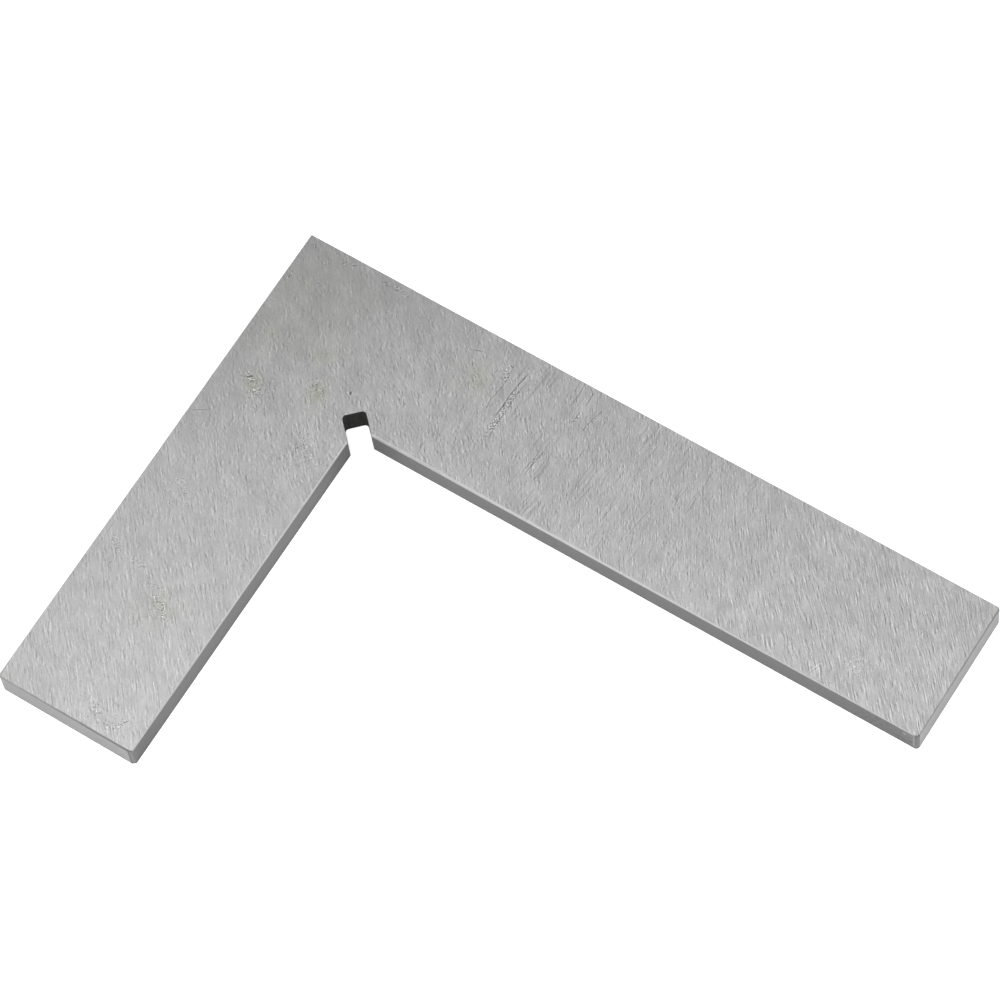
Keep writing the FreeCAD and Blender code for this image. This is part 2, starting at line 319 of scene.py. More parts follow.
# Bands of chatter, where something hard skidded over the face: points, half width, strength
CHATTER = [
    ([(4.74, 34.10), (8.16, 34.00), (10.35, 34.00), (12.6, 34.18)], 0.42, 1.0),
    ([(2.7, 31.60), (5.2, 31.75)], 0.42, 0.75), ([(10.9, 41.15), (13.6, 40.9)], 0.22, 0.7),
    ([(3.5, 42.4), (5.5, 42.3)], 0.22, 0.6), ([(2.4, 44.6), (5.2, 44.05)], 0.25, 0.6),
    ([(20.2, 3.6), (20.9, 4.9)], 0.35, 0.9), ([(66.8, 16.9), (68.6, 16.1)], 0.35, 0.7),
    ([(67.0, 12.2), (68.0, 13.5)], 0.5, 0.5), ([(25.4, 14.2), (26.4, 17.0)], 0.5, 0.55),
    ([(21.4, 5.6), (22.3, 7.4)], 0.6, 0.6), ([(36.2, 4.7), (39.3, 7.1)], 0.25, 0.55),
    ([(39.9, 5.0), (40.0, 5.8)], 0.3, 0.45), ([(47.3, 1.8), (48.6, 3.7)], 0.45, 0.5),
    ([(50.0, 3.2), (50.6, 3.7)], 0.3, 0.4), ([(48.5, 5.3), (48.9, 7.5)], 0.4, 0.5),
    ([(50.4, 8.9), (50.1, 11.3)], 0.3, 0.45),
    ([(51.3, 10.8), (52.5, 12.6), (53.5, 13.5)], 0.45, 0.65),
    ([(37.6, 17.9), (38.9, 17.5)], 0.25, 0.45), ([(1.2, 5.5), (1.1, 7.4)], 0.35, 0.5),
    ([(1.0, 11.4), (0.95, 12.5)], 0.22, 0.65), ([(0.95, 13.4), (1.4, 15.4)], 0.35, 0.6),
    ([(4.8, 14.1), (3.7, 14.2)], 0.35, 0.5), ([(3.7, 3.9), (2.5, 3.7)], 0.25, 0.5),
    ([(5.8, 4.8), (4.9, 4.3)], 0.25, 0.5), ([(5.8, 0.85), (7.9, 0.85)], 0.14, 0.55),
    ([(10.3, 0.85), (11.2, 0.9)], 0.14, 0.5), ([(1.6, 0.9), (1.0, 1.6)], 0.2, 0.45),
    ([(30.6, 2.0), (28.9, 3.2)], 0.3, 0.4),
]
# Patches of small pits: centre, radius, strength
PITS = [
    ((21.6, 6.1), 2.0, 1.0), ((26.1, 15.7), 2.4, 1.0), ((17.1, 11.9), 1.3, 1.0),
    ((67.7, 12.9), 1.9, 1.0), ((52.5, 12.5), 1.4, 1.0), ((38.0, 4.5), 1.4, 1.0),
    ((68.2, 15.4), 1.5, 1.0), ((14.9, 88.6), 1.7, 1.0),
]
# Faint stains: centre, radius, strength
STAINS = [
    ((2.6, 4.7), 2.2, 0.6), ((6.9, 2.8), 2.4, 0.8), ((5.3, 9.3), 2.4, 0.8),
    ((14.0, 2.9), 1.9, 0.8), ((13.3, 10.7), 1.6, 1.0), ((21.0, 4.7), 1.3, 1.5),
    ((18.4, 12.7), 1.5, 1.5), ((6.2, 28.9), 1.5, 1.6), ((52.2, 12.2), 1.9, 0.9),
    ((9.6, 6.0), 4.5, 0.45),
]


def chatter_hooks():
    """Each band of chatter is a ladder of short hooks, listed here as scratches."""
    rng = np.random.default_rng(77)
    hooks = []
    for path, half, strength in CHATTER:
        path = np.array(path, float)
        lengths = np.linalg.norm(np.diff(path, axis=0), axis=1)
        spacing = 0.24 if half < 0.5 else 0.30
        crowding = 1.2 if half < 0.3 else 2.4
        for _ in range(int(round(lengths.sum() / spacing * crowding))):
            s = rng.uniform(0, lengths.sum())
            i = min(int(np.searchsorted(np.cumsum(lengths), s)), len(lengths) - 1)
            along = (path[i + 1] - path[i]) / lengths[i]
            aside = np.array([-along[1], along[0]]) * rng.uniform(-0.8, 0.8) * half
            middle = path[i] + along * (s - lengths[:i].sum()) + aside
            lean = math.radians(rng.uniform(25, 80) * rng.choice([-1, 1], p=[0.35, 0.65]))
            cos, sin = math.cos(lean), math.sin(lean)
            stroke = np.array([along[0] * cos - along[1] * sin, along[0] * sin + along[1] * cos])
            reach = rng.uniform(0.12, 0.30)
            bend = np.array([-stroke[1], stroke[0]]) * rng.uniform(-0.10, 0.10)
            dark = rng.uniform() < 0.44
            reads = strength * (-rng.uniform(0.5, 1.0) if dark else rng.uniform(1.0, 1.9))
            points = [middle - stroke * reach, middle + bend, middle + stroke * reach]
            hooks.append((points, rng.uniform(0.07, 0.10), 14 if dark else -8, reads))
    return hooks


SCRATCHES += chatter_hooks()


def path_distance(path, x, y):
    """Distance of every point to a path, and its share along the path."""
    path = np.array(path, float)
    lengths = np.linalg.norm(np.diff(path, axis=0), axis=1)
    nearest, share, gone = np.full(len(x), 1e9), np.zeros(len(x)), 0.0
    for start, end, length in zip(path[:-1], path[1:], lengths):
        along = (end - start) / length
        s = np.clip((x - start[0]) * along[0] + (y - start[1]) * along[1], 0, length)
        away = np.hypot(x - start[0] - s * along[0], y - start[1] - s * along[1])
        closer = away < nearest
        nearest = np.where(closer, away, nearest)
        share = np.where(closer, (gone + s) / lengths.sum(), share)
        gone += length
    return nearest, share


def scratch_shape(x, y):
    """Height in millimetres (below 0 is cut) and reading of all the scratches at every point."""
    z, mark = np.zeros(len(x)), np.zeros(len(x))
    for i, (path, half, depth, reads) in enumerate(SCRATCHES):
        half = 0.8 * half
        away, share = path_distance(path, x, y)
        ends = smooth_step(0, 0.12, share) * smooth_step(0, 0.12, 1 - share)
        broken = 0.62 + 0.38 * noise_1d(share * 60 + 11 * i, 3.0, 700 + i)
        core = np.exp(-((away / half) ** 2)) * ends * broken
        rim = np.exp(-(((away - 1.7 * half) / half) ** 2)) * ends * broken
        z += -0.00035 * depth * core + 0.00008 * abs(depth) * rim
        # the rim is painted the other way round: painted highlight beside a dark scratch, painted
        # shade beside a bright one
        mark += (1.15 if reads < 0 else 0.6) * reads * core - 0.30 * reads * rim
    return z, mark


def chatter_strength(x, y):
    result = np.zeros(len(x))
    for path, half, strength in CHATTER:
        away, share = path_distance(path, x, y)
        wobble = half * (1 + 0.25 * noise_2d(x, y, 0.8, 66))
        band = strength * np.exp(-((away / wobble) ** 4))
        band = band * smooth_step(0, 0.06, share) * smooth_step(0, 0.06, 1 - share)
        result = np.maximum(result, band)
    return result


def spot_strength(spots, x, y):
    result = np.zeros(len(x))
    for (centre_x, centre_y), radius, strength in spots:
        away = np.hypot(x - centre_x, y - centre_y) / radius
        wobble = 1 + 0.35 * noise_2d(x, y, 1.3, 55)
        result = np.maximum(result, strength * np.exp(-((away * wobble) ** 2) * 1.2))
    return result


def top_marks(xy):
    """Height of the scratches on the upper face, and the attributes of all its marks."""
    x, y = xy[:, 0], xy[:, 1]
    z, mark = scratch_shape(x, y)
    return z, {
        "mark": mark,
        "stain": spot_strength(STAINS, x, y),
        "pit": spot_strength(PITS, x, y),
        "chatter": chatter_strength(x, y),
    }


def waviness(xy, seed):
    """Slow unevenness left by grinding, in millimetres."""
    x, y = xy[:, 0], xy[:, 1]
    slow = 0.0016 * noise_2d(x, y, 14, seed)
    return slow + 0.0010 * noise_2d(x + 0.6 * y, y - 0.6 * x, 5.0, seed + 1)


# ------------------------------------------------------------------ points inside the two faces
FINE_END = WIDTH + 52  # the fine lattice stops here along the short leg
EDGE_CLEARANCE = 0.16  # interior points keep this far from the face's boundary


def plan_lattice(end_x, pitch):
    xs, ys = np.meshgrid(np.arange(pitch / 2, end_x, pitch), np.arange(pitch / 2, LONG, pitch))
    return xs.ravel(), ys.ravel()


def fine_points(paths, pitch, reach):
    """Lattice points within reach of the paths."""
    x, y = plan_lattice(FINE_END, pitch)
    on_legs = ((x < WIDTH) | (y < WIDTH)) & (x < SHORT)
    x, y = x[on_legs], y[on_legs]
    nearest = np.full(len(x), 1e9)
    for path in paths:
        (low_x, low_y), (high_x, high_y) = np.min(path, axis=0) - 1, np.max(path, axis=0) + 1
        close = np.nonzero((x > low_x) & (x < high_x) & (y > low_y) & (y < high_y))[0]
        away = path_distance(path, x[close], y[close])[0]
        nearest[close] = np.minimum(nearest[close], away)
    return np.stack([x, y], 1)[nearest < reach]


def face_points(ring, coarse, paths=(), fine=0.0, reach=0.0):
    """Interior points of a face: a coarse lattice, refined within reach of the paths."""
    x, y = plan_lattice(SHORT, coarse)
    # a little off the lattice, so that no long line of triangles shows
    x = x + 0.18 * coarse * noise_2d(x * 7, y * 7, 1.0, 91)
    y = y + 0.18 * coarse * noise_2d(x * 7, y * 7, 1.0, 92)
    nearest = np.full(len(x), 1e9)
    for path in paths:
        nearest = np.minimum(nearest, path_distance(path, x, y)[0])
    points = np.stack([x, y], 1)[nearest > reach + 0.35 * coarse]
    if paths:
        points = np.concatenate([points, fine_points(paths, fine, reach)])

    # only points well inside the face's boundary
    boundary = KDTree(len(ring))
    for i, (x, y) in enumerate(ring):
        boundary.insert((x, y, 0), i)
    boundary.balance()
    x, y = points[:, 0], points[:, 1]
    inside = np.zeros(len(points), bool)
    for (x0, y0), (x1, y1) in zip(ring, np.roll(ring, -1, axis=0)):
        if y0 != y1:
            crosses = ((y0 <= y) & (y < y1)) | ((y1 <= y) & (y < y0))
            inside ^= crosses & (x < x0 + (y - y0) / (y1 - y0) * (x1 - x0))
    points = points[inside]
    clear = np.array([boundary.find((x, y, 0))[2] > EDGE_CLEARANCE for x, y in points])
    return points[clear]


# ------------------------------------------------------------------ the plate's mesh
SIDE, SLOT, EASED, TOP, UNDER = range(5)  # material slots
WAVE_TOP, WAVE_UNDER = 5, 8  # seeds of the faces' waviness
PROFILE = [(1.0, 0.0), (0.5, 0.43), (0.0, 1.0)]  # of a break: share of its width, of its height
WALL_LEVELS = (0.25, 0.5, 0.75)  # rings between the breaks, as shares of the wall's height
# How bright each run of the outline reads: its side face (others take DEFAULT_SIDE), where the round
# tip's low tone is painted shade ...
DEFAULT_SIDE = 0.82
SIDE_TONE = {
    "inner_long": 0.62, "inner_short": 0.64, "round_tip": 0.52, "facet_nose": 0.66,
    "short_end": 1.13, "long_end": 1.16, "facet_long": 1.0, "facet_short": 1.0,
}
# ... and the eased edge above it, at its start and its end (others are 1); underneath it is even.
# Above 1, on the inner edges, it is painted highlight; the low tones of the facets, the nose and the
# round tip are painted shade that damps their glints.
EASE_TONE_AND_LIGHT = {
    "inner_long": (1.42, 1.28), "inner_short": (1.20, 1.30), "short_end": (0.84, 0.50),
    "long_end": (0.68, 0.55), "outer_short": (0.80, 0.80), "outer_long": (0.80, 0.80),
    "facet_long": (0.40, 0.40), "facet_short": (0.40, 0.40), "facet_nose": (0.55, 0.55),
    "round_tip": (0.9, 0.5),
}
LOWER_EASE = 0.95
# a painted highlight line where the round tip starts, and a painted shade line where the nose's
# facet starts
TIP_HIGHLIGHT_LINE, NOSE_SHADE_LINE = 0.95, 0.28  # side tones where the round tip and the nose's facet start


class PlateMesh:
    """Vertices with their attributes, and faces with their material slots."""

    def __init__(self):
        self.verts, self.faces, self.slots = [], [], []
        names = ("mark", "stain", "pit", "chatter", "run", "side", "ease_tone_and_light")
        self.attributes = {name: [] for name in names}

    def push(self, xy, z, values):
        """Adds vertices and returns the index of the first."""
        first = len(self.verts)
        self.verts.extend((x, y, height) for (x, y), height in zip(xy, z))
        for name, column in self.attributes.items():
            column.extend(np.broadcast_to(values.get(name, 0.0), len(xy)))
        return first

    def band(self, lower, upper, ring_slots):
        """Joins two rings of vertices with quads."""
        count = len(ring_slots)
        for i, slot in enumerate(ring_slots):
            j = (i + 1) % count
            self.faces.append((lower + i, lower + j, upper + j, upper + i))
            self.slots.append(slot)

    def cap(self, ring_first, ring, inner, shape_of, slot, flip=False):
        """Fills a face's boundary ring with triangles through its interior points."""
        count = len(ring)
        points = [Vector((float(x), float(y))) for x, y in np.concatenate([ring, inner])]
        placed, _, triangles, origins, _, _ = delaunay_2d_cdt(
            points, [], [list(range(count))], 1, 1e-6
        )
        index, added = {}, []
        for i, sources in enumerate(origins):
            on_ring = [source for source in sources if source < count]
            if on_ring:
                index[i] = ring_first + on_ring[0]
            else:
                added.append(i)
        xy = np.array([tuple(placed[i]) for i in added])
        first = self.push(xy, *shape_of(xy))
        for offset, i in enumerate(added):
            index[i] = first + offset
        for triangle in triangles:
            loop = [index[i] for i in triangle]
            if len(set(loop)) < 3:
                continue
            self.faces.append(tuple(loop[::-1] if flip else loop))
            self.slots.append(slot)

    def build(self, name):
        mesh = bpy.data.meshes.new(name)
        mesh.from_pydata([(x * MM, y * MM, z * MM) for x, y, z in self.verts], [], self.faces)
        mesh.validate(verbose=False)
        mesh.update()
        mesh.polygons.foreach_set("material_index", self.slots)
        for key, column in self.attributes.items():
            attribute = mesh.attributes.new(key, "FLOAT", "POINT")
            attribute.data.foreach_set("value", np.array(column, np.float32))
        mesh.shade_smooth()
        mesh.set_sharp_from_angle(angle=math.radians(24))
        return mesh


def top_shape(xy):
    z, marks = top_marks(xy)
    return THICK - FACE_SINK + waviness(xy, WAVE_TOP) + z, marks


def under_shape(xy):
    return FACE_SINK - waviness(xy, WAVE_UNDER), {}


def build_plate():
    tags = np.concatenate([[edge.tag] * (len(edge.points) - 1) for edge in edges])
    outline = inset_ring("top", 0.0)
    steps = np.linalg.norm(np.diff(outline, axis=0), axis=1)
    run = np.concatenate([[0], np.cumsum(steps)])

    # rings of vertices from the underside up
    top, under = ring_heights("top"), ring_heights("under")
    rings = [(inset_ring("under", share), under * up) for share, up in PROFILE]
    rings += [(outline, under + (THICK - top - under) * share) for share in WALL_LEVELS]
    rings += [(inset_ring("top", share), THICK - top * up) for share, up in reversed(PROFILE)]
    last = len(rings) - 1
    upper_break = len(rings) - len(PROFILE)

    # the eased edges' tones run by run, with their painted highlight and painted shade
    ease_tone_and_light = []
    for edge in edges:
        start, end = EASE_TONE_AND_LIGHT.get(edge.tag, (1.0, 1.0))
        ease_tone_and_light.append(start + (end - start) * edge.share[:-1])
    ease_tone_and_light = np.concatenate(ease_tone_and_light)
    side = np.array([SIDE_TONE.get(tag, DEFAULT_SIDE) for tag in tags])
    # the painted highlight line at the round tip's start and the painted shade line at the nose
    # facet's start
    side[np.nonzero(tags == "round_tip")[0][0]] = TIP_HIGHLIGHT_LINE
    side[np.nonzero(tags == "facet_nose")[0][0]] = NOSE_SHADE_LINE

    plate = PlateMesh()
    firsts = []
    for level, (xy, z) in enumerate(rings):
        values = {"run": run, "side": side, "ease_tone_and_light": ease_tone_and_light if level >= upper_break else LOWER_EASE}
        if level == last:
            cut, marks = top_marks(xy)
            z = z + np.minimum(cut, 0) + waviness(xy, WAVE_TOP) - FACE_SINK
            values.update(marks)
        if level == 0:
            z = z + FACE_SINK - waviness(xy, WAVE_UNDER)
        firsts.append(plate.push(xy, z, values))
    for level in range(last):
        eased = level < len(PROFILE) - 1 or level >= upper_break
        ring_slots = [SLOT if tag == "slot" else EASED if eased else SIDE for tag in tags]
        plate.band(firsts[level], firsts[level + 1], ring_slots)

    ring = rings[-1][0]
    paths = [scratch[0] for scratch in SCRATCHES]
    inner = face_points(ring, coarse=0.5, paths=paths, fine=0.08, reach=0.26)
    plate.cap(firsts[-1], ring, inner, top_shape, TOP)
    ring = rings[0][0]
    plate.cap(firsts[0], ring, face_points(ring, coarse=0.7), under_shape, UNDER, flip=True)
    return plate.build("square_plate")


# ------------------------------------------------------------------ node helpers
class Value:
    """An output socket to do arithmetic with; each operation adds one node."""

    def __init__(self, tree, socket):
        self.tree, self.socket = tree, socket

    def __add__(self, other):
        return self.tree.math("ADD", self, other)

    def __sub__(self, other):
        return self.tree.math("SUBTRACT", self, other)

    def __mul__(self, other):
        return self.tree.math("MULTIPLY", self, other)

    def times(self, factor, plus):
        return self.tree.math("MULTIPLY_ADD", self, factor, plus)

    def at_least(self, other):
        return self.tree.math("MAXIMUM", self, other)

    def at_most(self, other):
        return self.tree.math("MINIMUM", self, other)

    def exp(self):
        return self.tree.math("EXPONENT", self)

    def square(self):
        return self.tree.math("POWER", self.tree.math("ABSOLUTE", self), 2.0)

    def ramp(self, start, end, first=0.0, last=1.0):
        """Goes smoothly from first to last while the value goes from start to end."""
        node = self.tree.node("ShaderNodeMapRange", interpolation_type="SMOOTHSTEP", clamp=True)
        names = ("Value", "From Min", "From Max", "To Min", "To Max")
        for name, value in zip(names, (self, start, end, first, last)):
            self.tree.put(node.inputs[name], value)
        return Value(self.tree, node.outputs["Result"])


class Tree:
    """A material's node tree."""

    def __init__(self, name):
        self.mat = bpy.data.materials.new(name)
        self.mat.use_nodes = True
        self.nt = self.mat.node_tree
        self.nt.nodes.clear()
        self.out = self.nt.nodes.new("ShaderNodeOutputMaterial")

    def put(self, socket, value):
        if isinstance(value, Value):
            self.nt.links.new(value.socket, socket)
        else:
            socket.default_value = value

    def node(self, kind, **props):
        node = self.nt.nodes.new(kind)
        for name, value in props.items():
            setattr(node, name, value)
        return node

    def fill(self, node, *values):
        """Sets a node's inputs in order and returns its first output."""
        for i, value in enumerate(values):
            self.put(node.inputs[i], value)
        return Value(self, node.outputs[0])

    def math(self, operation, a, b=0.0, c=0.0):
        return self.fill(self.node("ShaderNodeMath", operation=operation), a, b, c)

    def xyz(self, x, y, z=0.0):
        return self.fill(self.node("ShaderNodeCombineXYZ"), x, y, z)

    def rgb(self, red, green, blue):
        return self.fill(self.node("ShaderNodeCombineColor", mode="RGB"), red, green, blue)

    def noise(self, x, y, z, detail=0.0, roughness=0.5):
        """Noise with cells one unit wide, so a factor on x, y or z counts cells per millimetre."""
        vector = self.xyz(x, y, z)
        node = self.node("ShaderNodeTexNoise", noise_dimensions="3D")
        self.put(node.inputs["Vector"], vector)
        node.inputs["Scale"].default_value = 1.0
        node.inputs["Detail"].default_value = detail
        node.inputs["Roughness"].default_value = roughness
        return Value(self, node.outputs[0])

    def attribute(self, name):
        node = self.node("ShaderNodeAttribute", attribute_name=name)
        return Value(self, node.outputs["Fac"])

    def millimetres(self):
        """The point in the plate's own frame, as x, y, z."""
        point = Value(self, self.node("ShaderNodeTexCoord").outputs["Object"])
        scale = self.node("ShaderNodeVectorMath", operation="SCALE")
        scale.inputs["Scale"].default_value = 1000.0
        scaled = self.fill(scale, point)
        split = self.node("ShaderNodeSeparateXYZ")
        self.fill(split, scaled)
        return [Value(self, output) for output in split.outputs]

    def bump(self, height, distance, strength):
        node = self.node("ShaderNodeBump")
        node.inputs["Strength"].default_value = strength
        node.inputs["Distance"].default_value = distance
        self.put(node.inputs["Height"], height)
        return Value(self, node.outputs[0])

    def surface(self, **inputs):
        node = self.node("ShaderNodeBsdfPrincipled")
        for name, value in inputs.items():
            self.put(node.inputs[name.replace("_", " ")], value)
        self.nt.links.new(node.outputs[0], self.out.inputs["Surface"])
        return self.mat


# ------------------------------------------------------------------ materials
# A tone is the logarithm of brightness, 0 for plain steel. Each noise is centred by taking off
# 0.5, and the factor after it is its weight. The number added to a seed tells the noises apart.
STEEL = 0.508  # base colour of plain ground steel


def face_marks(t, x, y, seed, tone, height):
    """Adds scratches, flecks and chatter to tone and height, and gives the stain's strength."""
    mark, pit = t.attribute("mark"), t.attribute("pit")
    stain, chatter = t.attribute("stain"), t.attribute("chatter")
    tone += mark * 1.15
    # small bright and dark flecks, crowded in the pitted patches
    cells = t.node("ShaderNodeTexVoronoi", feature="F1", voronoi_dimensions="2D")
    t.put(cells.inputs["Vector"], t.xyz(x, y))
    cells.inputs["Scale"].default_value = 2.6
    split = t.node("ShaderNodeSeparateColor")
    t.fill(split, Value(t, cells.outputs["Color"]))
    pick, shade, size = [Value(t, output) for output in split.outputs]
    distance = Value(t, cells.outputs["Distance"])
    near = distance.ramp(0.10, size.times(0.22, plus=0.20), first=1.0, last=0.0)
    chosen = (pick + pit * 0.55).ramp(0.92, 0.97)
    spot = near * chosen * shade.ramp(0.50, 0.56, first=-1.0, last=0.8)
    tone += spot * pit.times(0.60, plus=0.13)
    height += spot * 0.8
    # chatter: a broken ladder of short bright and dark bars, real marks whose bright and dark sides
    # are painted highlight and painted shade
    bar_x, bar_y = x + y * 0.5, y - x * 0.3

    def bar_side(shifted_x):
        return t.noise(shifted_x * 3.6, bar_y * 2.8, seed + 15, detail=1.0, roughness=0.6)

    bars = (bar_side(bar_x + 0.07) - bar_side(bar_x - 0.07)) * chatter
    tone += bars.at_most(0.0) * 1.2 + bars.at_least(0.0) * 1.3
    height += bars * 1.0
    # specks in the stains
    specks = t.noise(x * 4.6, y * 4.6, seed + 17, detail=1.0, roughness=0.6).ramp(0.50, 0.62)
    tone -= specks * (stain - 0.7).at_least(0.0) * 0.40
    return tone, height, stain * specks.times(0.75, plus=0.35)


def ground_face(name, seed, visible):
    """Flat-ground steel: short streak lines along shallow arcs, their glints put into the colour as
    painted highlight and painted shade, matt islands, cross scratches.
    """
    t = Tree(name)
    x, y, _ = t.millimetres()

    def leg_fade(last):
        """Weakens a layer along the short leg, away from the corner."""
        return x.ramp(20.0, 38.0, first=1.0, last=last)

    # slow wandering of the grinding direction
    slow = t.noise(x * 0.10, y * 0.10, seed)
    mid = t.noise(x * 0.42, y * 0.42, seed + 3.3)
    fine = t.noise(x * 1.5, y * 1.5, seed + 4.7)
    wander = (slow - 0.5) * 1.0 + (mid - 0.5) * 0.30 + (fine - 0.5) * 0.16
    # s crosses the streaks and v runs along them. The streaks lie at about 41 degrees to the
    # short leg, and dip to 30 degrees half way up the long leg.
    dip = y.ramp(30.0, 74.0, last=17.0) * x.ramp(19.0, 27.0, first=1.0, last=0.0)
    s = (x - (y * 1.16 + dip) + wander) * 0.65
    v = y * 0.65 + x * 0.76
    # where the longer streaks take over: up the long leg and along the short one
    longer = y.ramp(52.0, 84.0).at_least(x.ramp(24.0, 44.0, last=0.65))

    def flanks(across, along, gap, key):
        """Grooves with a painted bright, lit flank and a painted dark, shaded flank: one noise,
        taken on either side of the point.
        across and along are counts per millimetre."""
        ahead = t.noise((s + gap) * across, v * along, seed + key)
        behind = t.noise((s - gap) * across, v * along, seed + key)
        return ahead - behind

    short = flanks(across=3.0, along=1.40, gap=0.085, key=1) * 0.85
    short += flanks(across=5.3, along=2.0, gap=0.050, key=2) * 0.9
    long = flanks(across=3.0, along=0.56, gap=0.085, key=3) * 0.62
    long += flanks(across=5.3, along=0.76, gap=0.050, key=4) * 1.0
    long += flanks(across=4.2, along=0.24, gap=0.060, key=5) * 0.55
    streak_glints = short * longer.times(-0.45, plus=0.80) + long * longer.times(0.55, plus=0.42)
    broad = t.noise(s * 1.6, v * 0.75, seed + 6, detail=1.0)
    streak_glints *= 0.68
    dash = t.noise(s * 4.4, v * 0.95, seed + 5)
    dashes = dash.ramp(0.60, 0.69) - dash.ramp(0.40, 0.31)
    grain = t.noise(s * 3.2, v * 3.1, seed + 7, detail=1.0, roughness=0.6)
    # islands where the streaks are strong, and calmer matt patches between them
    island = t.noise(s * 0.95, v * 0.55, seed + 8, detail=2.0, roughness=0.6)
    live = island.ramp(0.38, 0.61, first=0.27, last=1.36)
    patch = t.noise(s * 0.36, v * 0.16, seed + 9, detail=3.0, roughness=0.6)
    # the outer corner has been rubbed and lies calmer
    calm = (x + y).ramp(10.0, 44.0, first=0.56, last=1.0)
    # streaks fainter than a threshold are dropped
    threshold = longer.times(-0.018, plus=0.030)
    held = streak_glints.at_most(threshold).at_least(threshold * -1.0)
    streak_glints = (streak_glints - held) * longer.times(-0.27, plus=1.35)
    streak_glints = (streak_glints + dashes * 0.045) * live * calm
    streak_glints *= leg_fade(0.80)
    streak_glints *= y.ramp(42.0, 50.0, first=1.0, last=1.14) * y.ramp(62.0, 72.0, first=1.0, last=0.88)

    dust = t.noise(s * 6.4, v * 5.6, seed + 10)
    speckle = (grain - 0.5) * 0.40 + (dust - 0.5) * 0.20
    speckle *= live.times(0.45, plus=0.45)
    # the streaks go into the colour as painted highlight and painted shade, the speckle as grain
    tone = streak_glints + speckle * (calm.times(0.8, plus=0.2) * leg_fade(0.80))
    tone += (broad - 0.5) * 0.26 * calm
    veil = t.noise(s * 0.80, v * 0.42, seed + 18, detail=1.0)
    veil = (veil - 0.5) * longer.times(0.07, plus=0.34)
    tone += veil * (calm.times(0.6, plus=0.4) * leg_fade(0.62))
    tone += (patch - 0.5) * 0.27
    tone -= (x + y).ramp(4.0, 40.0, first=0.15, last=0.0)

    # fine cross scratches, nearly parallel to the short leg, in a belt across the long leg
    cross_y = y + x * 0.06 + (mid - 0.5) * 0.6
    lines = t.noise(x * 0.20, cross_y * 3.9, seed + 11)
    belt = y.ramp(26.0, 36.0) * y.ramp(60.0, 74.0, first=1.0, last=0.0)
    belt *= t.noise(x * 0.12, y * 0.2, seed + 12, detail=1.0).ramp(0.42, 0.58)
    crossing = lines.ramp(0.605, 0.67) * belt
    beside = lines.ramp(0.52, 0.575) * (lines.ramp(0.575, 0.615, first=1.0, last=0.0) * belt)
    # each dark cross scratch has a faint painted highlight along its sides
    tone = tone - crossing * 0.20 + beside * 0.08
    height = streak_glints * 1.5 + (grain - 0.5) * 0.5 - crossing * 0.6

    if visible:
        tone, height, stained = face_marks(t, x, y, seed, tone, height)
    else:
        blotches = t.noise(x * 0.16, y * 0.16, seed + 13, detail=3.0, roughness=0.6)
        stained = blotches.ramp(0.58, 0.72) * 0.6
    level = tone.at_most(0.0).exp() * tone.at_least(0.0).times(0.95, plus=1.0) * STEEL
    # stains take most from the blue
    red = level * stained.times(-0.016, plus=1.0)
    green = level * stained.times(-0.002, plus=1.0)
    blue = level * stained.times(-0.125, plus=1.0)
    return t.surface(
        Roughness=(patch - 0.5).times(0.10, plus=0.44) + streak_glints * -0.10,
        Normal=t.bump(height, distance=0.000012, strength=1.0),
        Base_Color=t.rgb(red, green, blue),
        Metallic=1.0,
        Anisotropic=0.25,
        Tangent=t.xyz(0.76, 0.65, 0.0),
    )


def ground_side(name, seed):
    """The ground edges and ends: finer and calmer, with faint lines along the run."""
    t = Tree(name)
    x, y, z = t.millimetres()
    run = t.attribute("run")
    lines = t.noise(run * 0.45, z * 7.0, seed, detail=2.0, roughness=0.6)
    fleck = t.noise(x * 3.2, y * 3.2, z * 3.2, detail=2.0, roughness=0.6)
    patch = t.noise(run * 0.16, z * 0.5, seed + 2, detail=2.0)
    nick = t.noise(run * 1.1, z * 2.6, seed + 4, detail=1.0).ramp(0.68, 0.76)
    tone = (lines - 0.5) * 0.16 + (fleck - 0.5) * 0.30 + (patch - 0.5) * 0.14 + nick * 0.10
    # a painted highlight where a dent on the long leg's inner side, near the tip, catches the light
    # (the dent is not in the mesh), and scale beside it
    inner_side = x.ramp(WIDTH - 0.2, WIDTH - 0.1)
    away = t.math("SQRT", ((y - 98.1) * 3.6).square() + ((z - 3.0) * 6.0).square())
    tone += inner_side * away.ramp(0.5, 1.2, first=0.85, last=0.0)
    scale = t.noise(y * 1.3, z * 1.9, seed + 6, detail=2.0, roughness=0.6).ramp(0.54, 0.64)
    tone -= inner_side * (y.ramp(86.0, 95.0) * scale) * 0.32
    # the short leg's inner side darkens towards its nose
    tone -= y.ramp(WIDTH - 0.30, WIDTH) * x.ramp(61.0, 69.5) * 0.20
    # painted shade at the foot of each side, where it meets the floor
    tone -= (z + (fleck - 0.5) * 0.25).ramp(0.12, 0.50, first=1.0, last=0.0) * 0.22
    level = tone.exp() * STEEL * t.attribute("side")
    height = (lines - 0.5) * 0.7 + (fleck - 0.5) * 0.5
    return t.surface(
        Base_Color=t.rgb(level * 1.0, level * 1.002, level * 1.0),
        Metallic=1.0,
        Roughness=(patch - 0.5).times(0.12, plus=0.40),
        Normal=t.bump(height, distance=0.00001, strength=0.8),
    )


